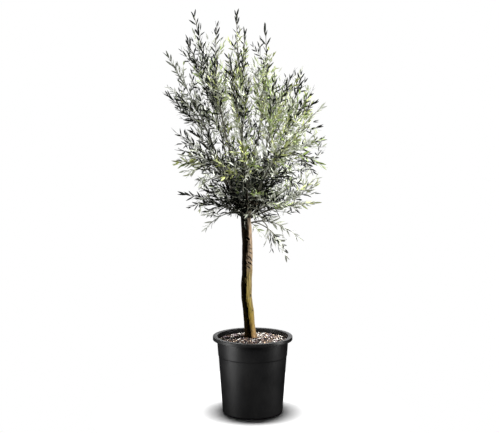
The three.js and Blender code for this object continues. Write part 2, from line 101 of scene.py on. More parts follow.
def newMaterial(name, color, roughness, specular=0.5):
    material = bpy.data.materials.new(name)
    material.use_nodes = True
    shader = material.node_tree.nodes["Principled BSDF"]
    shader.inputs["Base Color"].default_value = (*color, 1)
    shader.inputs["Roughness"].default_value = roughness
    shader.inputs["Specular IOR Level"].default_value = specular
    return material


def addNode(material, kind, links=(), **values):
    node = material.node_tree.nodes.new(kind)
    for key, value in values.items():
        setattr(node, key, value)
    for socket, source in links:
        if hasattr(source, "is_output"):
            material.node_tree.links.new(source, node.inputs[socket])
        else:
            node.inputs[socket].default_value = source
    return node


def objectCoords(material, scale):
    coords = addNode(material, "ShaderNodeTexCoord")
    return addNode(
        material, "ShaderNodeMapping", [("Vector", coords.outputs["Object"]), ("Scale", scale)]
    ).outputs["Vector"]


def noiseOf(material, scale, detail=5, roughness=0.6, stretch=(1, 1, 1)):
    return addNode(material, "ShaderNodeTexNoise", [
        ("Vector", objectCoords(material, stretch)), ("Scale", scale),
        ("Detail", detail), ("Roughness", roughness),
    ]).outputs["Fac"]


def rampOf(material, fac, stops):
    node = addNode(material, "ShaderNodeValToRGB", [("Fac", fac)])
    elements = node.color_ramp.elements
    while len(elements) < len(stops):
        elements.new(0.5)
    for element, (place, color) in zip(elements, stops):
        element.position = place
        element.color = (*color, 1)
    return node.outputs["Color"]


def mixColor(material, fac, a, b, blend="MIX"):
    node = addNode(material, "ShaderNodeMix", data_type="RGBA", blend_type=blend)
    links = material.node_tree.links
    for name, source in (("Factor", fac), ("A", a), ("B", b)):
        kind = "VALUE" if name == "Factor" else "RGBA"
        socket = next(s for s in node.inputs if s.name == name and s.type == kind)
        if hasattr(source, "is_output"):
            links.new(source, socket)
        else:
            socket.default_value = source if name == "Factor" else (*source, 1)
    return next(s for s in node.outputs if s.type == "RGBA")


def mapRange(material, value, low, high, toLow=0.0, toHigh=1.0):
    return addNode(material, "ShaderNodeMapRange", [
        ("Value", value), ("From Min", low), ("From Max", high),
        ("To Min", toLow), ("To Max", toHigh),
    ]).outputs["Result"]


def plug(material, socket, source):
    shader = material.node_tree.nodes["Principled BSDF"]
    material.node_tree.links.new(source, shader.inputs[socket])


def bumpFrom(material, height, strength, distance):
    node = addNode(material, "ShaderNodeBump", [
        ("Height", height), ("Strength", strength), ("Distance", distance),
    ])
    plug(material, "Normal", node.outputs["Normal"])


# pot: a thin moulded nursery pot with a flat lip, a skirt under it and a small step in the wall

pot = {
    "height": 0.338, "lipRadius": 0.175, "lipInner": 0.1555, "lipThick": 0.004,
    "skirtDrop": 0.015, "skirtThick": 0.0035, "collarRadius": 0.1575,
    "stepHeight": 0.25, "stepRadius": 0.1498, "stepOut": 0.002, "stepRise": 0.004,
    "footRadius": 0.1328, "footRounding": 0.009, "wall": 0.003, "floor": 0.004,
    "steps": 144, "lipBevel": 0.0022, "softBevel": 0.0008, "bevelSegments": 3, "roundingSteps": 6,
    "smoothAngle": 35, "dark": (0.0165, 0.0165, 0.0172), "light": (0.027, 0.027, 0.0275),
    "dust": (0.05, 0.048, 0.044), "mostDust": 0.4, "roughness": (0.36, 0.5),
}


def wallLine(inset):
    return [
        (pot["footRadius"] - inset, pot["footRounding"]),
        (pot["stepRadius"] - inset, pot["stepHeight"]),
        (pot["stepRadius"] + pot["stepOut"] - inset, pot["stepHeight"] + pot["stepRise"]),
        (pot["collarRadius"] - inset, pot["height"] - pot["lipThick"]),
    ]


def wallRadius(height, inset):
    line = wallLine(inset)
    return float(np.interp(height, [z for _, z in line], [r for r, _ in line]))


def spinProfile(profile, steps):
    bm = bmesh.new()
    verts = [bm.verts.new((r, 0, z)) for r, z in profile]
    edges = [bm.edges.new(pair) for pair in zip(verts, verts[1:])]
    bmesh.ops.spin(
        bm, geom=verts + edges, cent=(0, 0, 0), axis=(0, 0, 1), angle=math.tau,
        steps=steps, use_merge=True, use_duplicate=False,
    )
    bmesh.ops.remove_doubles(bm, verts=bm.verts, dist=1e-6)
    bmesh.ops.recalc_face_normals(bm, faces=bm.faces)
    return bm


def onRing(v, radius, height):
    return abs(v.co.xy.length - radius) < near and abs(v.co.z - height) < near


def bevelRings(bm, rings, offset):
    picked = [e for e in bm.edges if any(all(onRing(v, *ring) for v in e.verts) for ring in rings)]
    bmesh.ops.bevel(
        bm, geom=picked, offset=offset, affect="EDGES", segments=pot["bevelSegments"],
        profile=0.5, material=-1,
    )


def makePot():
    top, skirtFoot = pot["height"], pot["height"] - pot["skirtDrop"]
    skirtInner = pot["lipRadius"] - pot["skirtThick"]
    rounding = [
        (pot["footRadius"] - pot["footRounding"] * (1 - math.sin(a)),
         pot["footRounding"] * (1 - math.cos(a)))
        for a in np.linspace(0, math.pi / 2, pot["roundingSteps"])[:-1]
    ]
    profile = [
        (0, 0), *rounding, *wallLine(0), (skirtInner, top - pot["lipThick"]),
        (skirtInner, skirtFoot), (pot["lipRadius"], skirtFoot), (pot["lipRadius"], top),
        (pot["lipInner"], top), *wallLine(pot["wall"])[::-1],
        (pot["footRadius"] - pot["footRounding"] - pot["wall"], pot["floor"]), (0, pot["floor"]),
    ]
    bm = spinProfile(profile, pot["steps"])
    bevelRings(bm, [(pot["lipRadius"], top), (pot["lipInner"], top)], pot["lipBevel"])
    bevelRings(bm, [(pot["lipRadius"], skirtFoot), *wallLine(0)[1:3]], pot["softBevel"])
    piece = newPiece("nurseryPot", bm, [makePotPlastic()])
    shadeSmooth(piece, pot["smoothAngle"])
    return dress(piece, "pot", "pot")


def makePotPlastic():
    material = newMaterial("blackPotPlastic", (0.021, 0.021, 0.022), 0.42, 0.45)
    cloud = noiseOf(material, 9, 6, 0.65)
    scuff = noiseOf(material, 30, 5, 0.7, (1, 1, 0.14))
    dust = mapRange(material, scuff, 0.52, 0.82, 0.0, pot["mostDust"])
    base = rampOf(material, cloud, [(0.3, pot["dark"]), (0.7, pot["light"])])
    plug(material, "Base Color", mixColor(material, dust, base, pot["dust"]))
    plug(material, "Roughness", mapRange(material, cloud, 0.3, 0.7, *pot["roughness"]))
    grain = noiseOf(material, 900, 3, 0.5)
    bumpFrom(material, grain, 0.25, 0.0004)
    return material


# potting mix: dark, crumbly, with pieces of bark lying on it

mix = {
    "belowRim": 0.022, "mound": 0.014, "seat": 0.047, "gap": 0.0006, "corner": 0.017,
    "steps": 230, "rings": 62, "lump": 0.0035, "lumpPitch": 45, "crumb": 0.0026, "crumbPitch": 170,
    "fineCrumb": 0.6, "finePitch": 420, "calmEdge": 0.006, "edgeDip": 0.001, "smoothAngle": 80,
}
soilEdge = pot["height"] - mix["belowRim"]
ground = soilEdge + mix["mound"]


def soilHeight(radius):
    edge = wallRadius(soilEdge, pot["wall"])
    return lerp(ground, soilEdge, np.clip((radius - mix["seat"]) / (edge - mix["seat"]), 0, 1))


def makeMix():
    edge = wallRadius(soilEdge, pot["wall"] + mix["gap"])
    floor = pot["floor"] + mix["gap"]
    radii = np.linspace(0, edge, mix["rings"])
    foot = pot["footRadius"] - pot["footRounding"] - pot["wall"] - 2 * mix["gap"]
    inset = pot["wall"] + 2 * mix["gap"]
    side = [(wallRadius(z, inset), z) for z in (mix["corner"], pot["stepHeight"])]
    top = [(r, float(soilHeight(r))) for r in radii[::-1]]
    bm = spinProfile([(0, floor), (foot, floor), *side, *top], mix["steps"])
    for v in bm.verts:
        radius = v.co.xy.length
        if v.co.z > soilEdge - near and radius < edge + near:
            calm = min(1, (edge - radius) / mix["calmEdge"])
            lump = noise.noise(v.co * mix["lumpPitch"]) * mix["lump"]
            crumb = noise.noise(v.co * mix["crumbPitch"]) * mix["crumb"]
            crumb += noise.noise(v.co * mix["finePitch"]) * mix["crumb"] * mix["fineCrumb"]
            v.co.z += lerp(-mix["edgeDip"], lump + crumb, calm)
    piece = newPiece("pottingMix", bm, [makeMixMaterial()])
    shadeSmooth(piece, mix["smoothAngle"])
    return dress(piece, "potting_mix", "potting_mix")


def makeMixMaterial():
    material = newMaterial("darkPottingMix", (0.05, 0.035, 0.027), 0.95, 0.2)
    fine = noiseOf(material, 260, 6, 0.75)
    wide = noiseOf(material, 40, 4, 0.6)
    base = rampOf(material, fine, [
        (0.34, (0.008, 0.006, 0.005)), (0.5, (0.04, 0.028, 0.022)),
        (0.63, (0.11, 0.075, 0.055)), (0.78, (0.3, 0.24, 0.19)),
    ])
    bumpFrom(material, fine, 0.7, 0.002)
    tint = mixColor(material, mapRange(material, wide, 0.35, 0.7), base, (0.075, 0.052, 0.046))
    plug(material, "Base Color", tint)
    return material


# bark pieces: jittered slabs lying on the mix, in five colours

chips = {
    "seed": 7, "count": 2800, "longest": 0.016, "shortest": 0.003, "fewLong": 1.6,
    "slim": (0.25, 0.55), "thick": (0.24, 0.6), "thickest": 0.006, "tilt": 0.45, "jitter": 0.18,
    "inner": 0.03, "edgeGap": 0.004, "sunk": 0.3, "lift": 0.002, "darker": 0.45, "lighter": 1.35,
    "colors": {
        "tan": (0.4, 0.3, 0.21), "pale": (0.8, 0.76, 0.7), "brown": (0.13, 0.08, 0.058),
        "plum": (0.19, 0.15, 0.165), "dark": (0.016, 0.011, 0.01),
    },
    "shares": (0.12, 0.16, 0.16, 0.12, 0.44),
}


def makeChipMaterial(name, color):
    material = newMaterial(name + "BarkChip", color, 0.85, 0.3)
    grain = noiseOf(material, 160, 5, 0.7, (1, 1, 0.5))
    dark = tuple(chips["darker"] * c for c in color)
    light = tuple(min(1, chips["lighter"] * c) for c in color)
    plug(material, "Base Color", rampOf(material, grain, [(0.32, dark), (0.5, color), (0.72, light)]))
    bumpFrom(material, grain, 0.5, 0.0015)
    return material


def makeChips():
    random = np.random.default_rng(chips["seed"])
    count = chips["count"]
    edge = wallRadius(soilEdge, pot["wall"]) - chips["edgeGap"]
    radius = np.sqrt(random.uniform(chips["inner"] ** 2, edge ** 2, count))
    bearing = random.uniform(0, math.tau, count)
    longer = random.random(count) ** chips["fewLong"]
    length = chips["shortest"] * (chips["longest"] / chips["shortest"]) ** longer
    radius = np.minimum(radius, edge - length / 2)
    width = length * random.uniform(*chips["slim"], count)
    thick = np.minimum(width * random.uniform(*chips["thick"], count), chips["thickest"])
    box = np.array([(x, y, z) for x in (-0.5, 0.5) for y in (-0.5, 0.5) for z in (-0.5, 0.5)])
    corners = box + around(random, 0, chips["jitter"], (count, *box.shape))
    corners = corners * np.stack([length, width, thick], 1)[:, None]
    turned = []
    for k in range(count):
        turn = Matrix.Rotation(random.uniform(0, math.tau), 3, "Z")
        turn = turn @ Matrix.Rotation(around(random, 0, chips["tilt"]), 3, "X")
        turn = turn @ Matrix.Rotation(around(random, 0, chips["tilt"]), 3, "Y")
        turned.append(corners[k] @ np.array(turn).T)
    place = np.stack([radius * np.cos(bearing), radius * np.sin(bearing), soilHeight(radius)], 1)
    place[:, 2] += thick * (0.5 - chips["sunk"]) + random.random(count) * chips["lift"]
    points = (np.array(turned) + place[:, None]).reshape(-1, 3)
    sides = np.array([(0, 1, 3, 2), (4, 6, 7, 5), (0, 4, 5, 1), (2, 3, 7, 6), (0, 2, 6, 4), (1, 5, 7, 3)])
    faces = (sides[None] + len(box) * np.arange(count)[:, None, None]).reshape(-1, 4)
    kinds = random.choice(len(chips["colors"]), count, p=chips["shares"])
    materials = [makeChipMaterial(name, color) for name, color in chips["colors"].items()]
    slots = np.repeat(kinds, len(sides))
    return dress(meshPiece("barkPieces", points, faces.tolist(), slots, materials), "potting_mix")


# trunk and boughs: tubes swept along their lines, joined by a remesh, then given the bark's relief

trunk = {
    "line": [
        (330.3, -9, 2), (390, -14, 2), (450, -19, 0), (510, -27, -2), (570, -28, -3),
        (650, -24, -1), (760, -24, 2), (850, -29, 2), (925, -33, 0),
    ],
    "sink": 0.006, "foot": 24 * mm, "waist": 22 * mm, "head": 27 * mm, "headRise": 60 * mm,
    "flareHeight": 48 * mm, "flare": 0.34, "lobes": 5, "lobeDepth": 0.35, "flutes": 3,
    "fluting": 0.045, "flutePitch": 90 * mm, "sides": 40, "rings": 90, "ringsLower": 1.25,
    "overHead": 4 * mm, "knotSteps": 20,
}
headHeight = trunk["line"][-1][0] * mm

# bough: what it leaves, at what height in mm or share of its length, its end and its base radius in mm
boughs = {
    "bough_middle": ("trunk", 915, (-43, 6, 1075), 12),
    "bough_left": ("trunk", 880, (-112, -12, 1000), 10.5),
    "bough_right": ("trunk", 872, (52, 2, 995), 10.5),
    "bough_back": ("trunk", 880, (-33, 82, 990), 9),
    "bough_front": ("trunk", 872, (-24, -80, 975), 9),
    "bough_left_back": ("trunk", 896, (-96, 66, 1015), 9),
    "bough_right_back": ("trunk", 893, (28, 68, 1000), 9),
    "bough_right_front": ("trunk", 893, (28, -66, 985), 9),
    "bough_left_front": ("trunk", 896, (-88, -66, 985), 9),
    "limb_outer_left": ("bough_left", 0.6, (-136, 18, 1075), 6.5),
    "limb_tall_left": ("bough_left_back", 0.6, (-112, 32, 1105), 6.5),
    "limb_inner_left": ("bough_middle", 0.4, (-80, -24, 1105), 6.5),
    "limb_centre_right": ("bough_middle", 0.45, (-6, 18, 1100), 6.5),
    "limb_front_upper": ("bough_front", 0.6, (-36, -68, 1070), 6),
    "limb_right_inner": ("bough_right_front", 0.6, (40, -42, 1075), 6),
    "limb_right_tall": ("bough_right", 0.6, (82, 40, 1070), 6),
    "limb_back_left": ("bough_back", 0.6, (-74, 94, 1070), 6),
    "limb_back_right": ("bough_right_back", 0.6, (50, 68, 1080), 6),
}
boughShape = {
    "taper": 0.52, "sides": 14, "steps": 14, "sweep": 0.6, "lift": 0.32, "fork": 0.4, "lean": 0.6,
    "collar": 0.35, "collarPower": 6,
}


# a smooth curve through the trunk's knots
def makeTrunkLine():
    knots = np.array([(x, y, z) for z, x, y in trunk["line"]]) * mm
    ends = [2 * knots[0] - knots[1], *knots, 2 * knots[-1] - knots[-2]]
    points = []
    for p0, p1, p2, p3 in zip(ends, ends[1:], ends[2:], ends[3:]):
        d0, d1, d2 = (np.linalg.norm(b - a) ** 0.5 for a, b in ((p0, p1), (p1, p2), (p2, p3)))
        m1 = ((p1 - p0) / d0 - (p2 - p0) / (d0 + d1) + (p2 - p1) / d1) * d1
        m2 = ((p2 - p1) / d1 - (p3 - p1) / (d1 + d2) + (p3 - p2) / d2) * d1
        for t in np.linspace(0, 1, trunk["knotSteps"], endpoint=False):
            a, b = 2 * t ** 3 - 3 * t ** 2 + 1, t ** 3 - 2 * t ** 2 + t
            points.append(a * p1 + b * m1 + (1 - a) * p2 + (t ** 3 - t ** 2) * m2)
    return np.array([*points, knots[-1]])


trunkLine = makeTrunkLine()


def trunkCentre(height):
    return np.array([np.interp(height, trunkLine[:, 2], trunkLine[:, k]) for k in (0, 1)] + [height])


def trunkRadius(height, bearing):
    share = (height - ground) / (headHeight - ground)
    shaft = lerp(trunk["foot"], trunk["waist"], share)
    swell = smoothStep(height, headHeight - trunk["headRise"], headHeight)
    foot = max(0, 1 - (height - ground) / trunk["flareHeight"]) ** 2
    lobe = 1 - trunk["lobeDepth"] * (1 - math.cos(trunk["lobes"] * bearing))
    flute = trunk["fluting"] * math.cos(trunk["flutes"] * bearing + height / trunk["flutePitch"])
    return lerp(shaft, trunk["head"], swell) * (1 + trunk["flare"] * foot * lobe + flute)


def pointOn(bend, share):
    a, b, c = bend[:3]
    share = np.asarray(share, float)[..., None]
    return (1 - share) ** 2 * a + 2 * share * (1 - share) * b + share ** 2 * c


def alongOn(bend, share):
    a, b, c = bend[:3]
    share = np.asarray(share, float)[..., None]
    return unit((1 - share) * (b - a) + share * (c - b))


def lengthOf(bend, points=24):
    points = pointOn(bend, np.linspace(0, 1, points))
    return float(np.linalg.norm(np.diff(points, axis=0), axis=1).sum())


def boughBend(row, bends):
    parent, at, tip, base = row
    end = np.array(tip) * mm
    if parent == "trunk":
        start = trunkCentre(at * mm)
        control = lerp(start, end, boughShape["sweep"])
        control[2] = lerp(start[2], end[2], boughShape["lift"])
        return start, control, end
    start = pointOn(bends[parent], at)
    straight = end - start
    leave = unit(lerp(alongOn(bends[parent], at), unit(straight), boughShape["lean"]))
    return start, start + leave * np.linalg.norm(straight) * boughShape["fork"], end


def sweepTube(bm, centres, directions, radiusAt, sides):
    rings = []
    for k, (centre, direction) in enumerate(zip(centres, directions)):
        turn = Vector((0, 0, 1)).rotation_difference(Vector(direction)).to_matrix()
        capped = k in (0, len(centres) - 1)
        ring = bmesh.ops.create_circle(bm, cap_ends=capped, segments=sides, radius=1)["verts"]
        for v in ring:
            bearing = math.atan2(v.co.y, v.co.x)
            v.co = Vector(centre) + turn @ (v.co * radiusAt(k, bearing))
        rings.append(list({e for v in ring for e in v.link_edges}))
    for one, two in zip(rings, rings[1:]):
        bmesh.ops.bridge_loops(bm, edges=one + two)


bark = {
    "voxel": 1.7 * mm, "smoothing": 5, "smoothBy": 0.5, "furrow": 0.9 * mm, "furrowPitch": 95,
    "stretch": 0.16, "grain": 0.45 * mm, "grainPitch": 260, "grainStretch": 0.4, "swell": 1.2 * mm,
    "swellPitch": 22, "onBoughs": 0.45, "crackBelow": 0.35, "crackAndShadeTone": 0.35,
    # painted shade down the right side: its strength, patchiness, narrowness and colour
    "paintedShadeRight": 0.68, "shadePatchy": 0.6, "shadeNarrow": 4, "paintedShadeColor": (0.2, 0.14, 0.08),
    # crack and pit darkening: partly dark bark and partly painted shade in the recesses
    "crackAndShadeColor": (0.018, 0.012, 0.009), "lichenColor": (0.55, 0.52, 0.42), "mostLichen": 0.5,
    # colours by height, from one height in m to another, with a wavering edge; the near-black at the top, on
    # the head and the boughs, is partly dark bark and partly painted shade under the crown
    "colorFrom": 0.39, "colorTo": 1.04, "colorWaver": 0.12,
    "byHeight": [
        (0.0, (0.54, 0.31, 0.15)), (0.09, (0.57, 0.39, 0.07)), (0.2, (0.55, 0.43, 0.045)),
        (0.42, (0.63, 0.5, 0.17)), (0.52, (0.78, 0.6, 0.41)), (0.74, (0.76, 0.59, 0.43)),
        (0.83, (0.1, 0.08, 0.05)), (1.0, (0.045, 0.036, 0.026)),
    ],
    # marks: height, bearing in degrees from the right towards the back, half height, half width, depth
    "markSlant": 0.24, "mmPerDegree": 0.4, "markReach": 1.6, "wobble": 0.35, "wobblePitch": 300,
    "rimAt": 1.25, "rimWide": 0.35, "rimHigh": 0.35, "pitTone": 2.2,
    "marks": [
        (769, -84, 7, 9, 3.2), (686, -66, 3.8, 12, 2.6), (660, -58, 4.2, 14, 3.0), (644, -76, 3.2, 11, 2.2),
        (706, -50, 2.8, 9, 2.0), (518, -34, 8, 4, 2.0), (452, -34, 5, 4, 1.8), (640, 160, 8, 9, 2.6),
        (674, -38, 3.4, 11, 2.6), (724, -44, 2.4, 8, 1.8), (742, -62, 2.2, 7, 1.6),
        (520, 95, 7, 8, 2.4), (760, 70, 2.5, 13, 2.0), (610, 40, 2, 12, 1.4), (430, -140, 6, 8, 2.2),
    ],
}


# a bough is thicker where it leaves
def collarAt(share):
    return 1 + boughShape["collar"] * (1 - share) ** boughShape["collarPower"]


def makeBark():
    bm = bmesh.new()
    foot, top = ground - trunk["sink"], headHeight + trunk["overHead"]
    heights = lerp(foot, top, np.linspace(0, 1, trunk["rings"]) ** trunk["ringsLower"])
    centres = [trunkCentre(min(h, headHeight)) + (0, 0, max(0, h - headHeight)) for h in heights]
    sweepTube(
        bm, centres, [(0, 0, 1)] * len(centres),
        lambda k, bearing: trunkRadius(max(heights[k], ground), bearing), trunk["sides"],
    )
    shares = np.linspace(0, 1, boughShape["steps"])
    for name, row in boughs.items():
        base, tip = row[3] * mm, row[3] * mm * boughShape["taper"]
        sweepTube(
            bm, pointOn(bends[name], shares), alongOn(bends[name], shares),
            lambda k, _: lerp(base, tip, shares[k]) * collarAt(shares[k]), boughShape["sides"],
        )
    bmesh.ops.recalc_face_normals(bm, faces=bm.faces)
    rough = newPiece("barkRough", bm, [])
    remesh = rough.modifiers.new("join", "REMESH")
    remesh.mode = "VOXEL"
    remesh.voxel_size = bark["voxel"]
    dg = bpy.context.evaluated_depsgraph_get()
    joined = bpy.data.meshes.new_from_object(rough.evaluated_get(dg))
    bpy.data.objects.remove(rough)
    bm = bmesh.new()
    bm.from_mesh(joined)
    for _ in range(bark["smoothing"]):
        bmesh.ops.smooth_vert(
            bm, verts=bm.verts, factor=bark["smoothBy"],
            use_axis_x=True, use_axis_y=True, use_axis_z=True,
        )
    relief = [raiseBark(v) for v in bm.verts]
    for v, (rise, _, _) in zip(bm.verts, relief):
        v.co += v.normal * rise
    piece = newPiece("trunkAndBoughs", bm, [makeBarkMaterial()])
    for column, name in ((1, "crackAndShade"), (2, "paintedShade")):
        held = piece.data.attributes.new(name, "FLOAT", "POINT")
        held.data.foreach_set("value", [row[column] for row in relief])
    piece.data.shade_smooth()
    return dress(piece, "bark", "trunk", *boughs)


# how far the bark rises at a point, how dark it is in its cracks and pits (partly painted shade), and how
# much painted shade darkens it down its right side
def raiseBark(v):
    place = v.co
    long = Vector((place.x, place.y, place.z * bark["stretch"]))
    furrow = abs(noise.noise(long * bark["furrowPitch"])) * 2
    grainPlace = Vector((place.x, place.y, place.z * bark["grainStretch"]))
    grain = noise.noise(grainPlace * bark["grainPitch"])
    swell = noise.noise(place * bark["swellPitch"])
    rise = bark["furrow"] * (furrow - 0.5) + bark["grain"] * grain + bark["swell"] * swell
    # low furrows are darkened, partly dark bark and partly painted shade in the recess
    crackAndShade = bark["crackAndShadeTone"] * max(0, bark["crackBelow"] - furrow) / bark["crackBelow"]
    if place.z >= headHeight:
        return bark["onBoughs"] * rise, crackAndShade, 0
    out = place.xy - Vector(trunkCentre(place.z)[:2])
    rise *= min(1, out.length / trunk["waist"])
    bearing = math.degrees(math.atan2(out.y, out.x))
    # painted shade down the right side, strongest where the bark faces the light from the right
    patchy = 1 + bark["shadePatchy"] * noise.noise(long * bark["swellPitch"])
    facing = max(0, math.cos(math.radians(bearing)))
    paintedShade = bark["paintedShadeRight"] * patchy * facing ** bark["shadeNarrow"]
    for height, at, tall, wide, depth in bark["marks"]:
        off = (bearing - at + 180) % 360 - 180
        slant = place.z / mm - height + bark["markSlant"] * off
        reach = math.hypot(slant / tall, off * bark["mmPerDegree"] / wide)
        if reach < bark["markReach"]:
            wobble = 1 + bark["wobble"] * noise.noise(place * bark["wobblePitch"])
            pit = max(0, 1 - (reach * wobble) ** 2)
            rim = bark["rimHigh"] * max(0, 1 - abs(reach - bark["rimAt"]) / bark["rimWide"])
            rise += depth * mm * (rim - pit)
            # the pit is darkened too, partly dark bark and partly painted shade
            crackAndShade = max(crackAndShade, min(1, pit * bark["pitTone"]))
    return rise, crackAndShade, paintedShade


def makeBarkMaterial():
    material = newMaterial("oliveBark", (0.36, 0.26, 0.15), 0.85, 0.25)
    material.node_tree.nodes["Principled BSDF"].inputs["Diffuse Roughness"].default_value = 1
    coords = addNode(material, "ShaderNodeTexCoord").outputs["Object"]
    height = addNode(material, "ShaderNodeSeparateXYZ", [("Vector", coords)]).outputs["Z"]
    streak = noiseOf(material, 60, 6, 0.7, (1, 1, 0.22))
    patch = noiseOf(material, 14, 4, 0.6, (1, 1, 0.5))
    terms = [(0, patch), (1, bark["colorWaver"]), (2, height)]
    waver = addNode(material, "ShaderNodeMath", terms, operation="MULTIPLY_ADD").outputs[0]
    share = mapRange(material, waver, bark["colorFrom"], bark["colorTo"])
    byHeight = rampOf(material, share, bark["byHeight"])
    shade = rampOf(material, streak, [
        (0.32, (0.3, 0.25, 0.2)), (0.5, (0.78, 0.75, 0.7)), (0.66, (1, 1, 1)),
    ])
    base = mixColor(material, 0.9, byHeight, shade, "MULTIPLY")
    mottle = rampOf(material, noiseOf(material, 95, 5, 0.7, (1, 1, 0.6)), [
        (0.36, (0.42, 0.34, 0.24)), (0.48, (0.9, 0.88, 0.82)), (0.6, (1, 1, 1)),
    ])
    base = mixColor(material, 0.85, base, mottle, "MULTIPLY")
    lichen = mapRange(material, noiseOf(material, 75, 4, 0.65), 0.6, 0.72, 0.0, bark["mostLichen"])
    base = mixColor(material, lichen, base, bark["lichenColor"])
    # painted shade: the bark is coloured darker down its right side, which faces the strong light from the
    # right
    paintedShade = addNode(material, "ShaderNodeAttribute", attribute_name="paintedShade").outputs["Fac"]
    base = mixColor(material, paintedShade, base, bark["paintedShadeColor"])
    # cracks and pits get a dark colour: partly dark bark, partly painted shade in the recesses
    crackAndShade = addNode(material, "ShaderNodeAttribute", attribute_name="crackAndShade").outputs["Fac"]
    plug(material, "Base Color", mixColor(material, crackAndShade, base, bark["crackAndShadeColor"]))
    plug(material, "Roughness", mapRange(material, streak, 0.3, 0.7, 0.92, 0.72))
    bumpFrom(material, noiseOf(material, 420, 5, 0.7, (1, 1, 0.35)), 0.4, 0.0012)
    return material


# crown: each mass grows from the limb that carries it by one rule, from stem to shoot to twig to leaf

# habit: the least angle a shoot leaves at, how much wider it may be, how much it lifts or hangs
habits = {"rising": (24, 36, 0.3), "spreading": (38, 38, 0.08), "hanging": (40, 30, -0.36)}

# mass: the limb or the height on the trunk that carries it, its habit, its shoots' reach, its tips
masses = {
    "tall_left": ("limb_tall_left", "rising", 120, (-258, 50, 1752), (-284, -30, 1630), (-214, 20, 1560)),
    "outer_left": ("limb_outer_left", "rising", 120, (-370, -20, 1564), (-388, 70, 1405), (-318, -84, 1380)),
    "middle_left": ("bough_left", "spreading", 130, (-345, -20, 1233), (-328, -100, 1102), (-330, 62, 1150)),
    "low_left": (862, "hanging", 110, (-307, -50, 965), (-211, -30, 803), (-262, 60, 912)),
    "inner_left": (
        "limb_inner_left", "rising", 115, (-151, -60, 1697), (-164, -150, 1530), (-196, -84, 1452)),
    "leader": ("bough_middle", "rising", 115, (-72, 30, 1752), (-33, -40, 1658), (-104, 70, 1560)),
    "centre_right": ("limb_centre_right", "rising", 115, (53, 20, 1686), (50, 90, 1511), (2, -66, 1530)),
    "right_inner": ("limb_right_inner", "rising", 110, (178, -60, 1493), (91, -150, 1469), (70, -30, 1420)),
    "right_tall": ("limb_right_tall", "rising", 115, (216, 40, 1498), (263, -10, 1418), (283, 70, 1365)),
    "right_outer": ("bough_right", "spreading", 125, (305, -40, 1345), (322, 50, 1205), (313, -50, 1075)),
    "right_low": (846, "spreading", 120, (287, 40, 920), (272, -90, 1004), (296, 96, 1040)),
    "right_hanging": (826, "hanging", 90, (213, -40, 765), (151, 30, 669), (53, -60, 750)),
    "front_low": (852, "hanging", 110, (-85, -250, 893), (22, -236, 884)),
    "front": ("bough_front", "spreading", 130, (-51, -338, 1180), (-123, -315, 1040), (24, -330, 1090)),
    "front_right": (
        "bough_right_front", "spreading", 130, (197, -265, 1220), (191, -255, 1010), (110, -290, 1130)),
    "front_left": (
        "bough_left_front", "spreading", 130, (-254, -250, 1240), (-213, -245, 1000), (-300, -170, 1130)),
    "front_upper": ("limb_front_upper", "rising", 120, (-100, -240, 1540), (-20, -250, 1400)),
    "back_low": (856, "hanging", 110, (-58, 270, 863), (81, 240, 819)),
    "back_left": ("limb_back_left", "rising", 125, (-214, 190, 1640), (-270, 240, 1400), (-120, 200, 1480)),
    "back_side": (
        "bough_left_back", "spreading", 130, (-262, 250, 1151), (-262, 190, 992), (-320, 150, 1080)),
    "back_right": ("limb_back_right", "rising", 125, (218, 150, 1512), (60, 200, 1450), (250, 190, 1330)),
    "back_corner": ("bough_right_back", "spreading", 130, (210, 250, 1160), (238, 190, 992)),
    "back": ("bough_back", "spreading", 130, (-35, 338, 1170), (40, 315, 1020), (-120, 310, 1080)),
    "low_front_left": (850, "spreading", 110, (-215, -165, 1015), (-115, -225, 1000)),
    "low_front_right": (850, "spreading", 110, (165, -180, 1015), (65, -235, 990)),
    "low_back_left": (850, "spreading", 110, (-200, 175, 1000), (-115, 225, 960)),
    "low_back_right": (850, "spreading", 110, (165, 180, 1010), (75, 235, 980)),
}

stem = {
    "leave": 0.45, "lift": 0.55, "short": 22 * mm, "forks": (0.16, 0.34), "lean": 0.45, "side": 0.66,
    "onTrunk": 4.2 * mm, "overlap": 4 * mm, "tip": 1.0 * mm, "steps": 18, "sides": 7,
    "leafyFrom": 0.46, "risingTones": (0.62, 0.13, 0.25),
}
# twigs keep to their mass's own space, leaf blades may reach a little past its border
space = {
    "margin": 1.5 * mm, "leafMargin": -18 * mm, "limbGap": 1.5 * mm, "samples": 8, "trunkStride": 6,
    "batch": 2000,
}
# shoots go round by the golden angle; one without room, tested at a few places, is cut shorter
growth = {
    "seed": 100, "goldenAngle": 137.5, "turnSpread": 25, "placeSpread": 0.25, "stemTurn": 90,
    "shootTurn": 60, "cuts": (1, 0.86, 0.73, 0.61, 0.5, 0.4), "tests": (0.4, 0.7, 1), "toneAt": 0.6,
}

# what grows on what: a shoot on a stem, then a twig on a shoot
shootRule = {
    "spacing": 25 * mm, "from": 0.02, "to": 0.82, "first": 1.2, "last": 0.25, "lengthSpread": 0.4,
    "least": 26 * mm, "base": 1.25 * mm, "tip": 0.55 * mm, "steps": 5, "sides": 5,
    "leafyFrom": 0.18, "twigsOver": 45 * mm,
}
twigRule = {
    "spacing": 36 * mm, "from": 0.14, "to": 0.8, "first": 0.6, "last": 0.35, "lengthSpread": 0.3,
    "least": 20 * mm, "base": 0.8 * mm, "tip": 0.45 * mm, "steps": 3, "sides": 4, "leafyFrom": 0.15,
}
# dark shoots that stand off the boughs and limbs and fill the crown's heart; most take the near-black
# deepOlive tone, partly dark leaves and partly painted shade
innerRule = {
    **shootRule, "spacing": 8 * mm, "from": 0.08, "to": 1.0, "first": 0.7, "last": 0.7,
    "angles": (40, 55), "free": True, "leafyFrom": 0.2, "colored": 0.45,
}

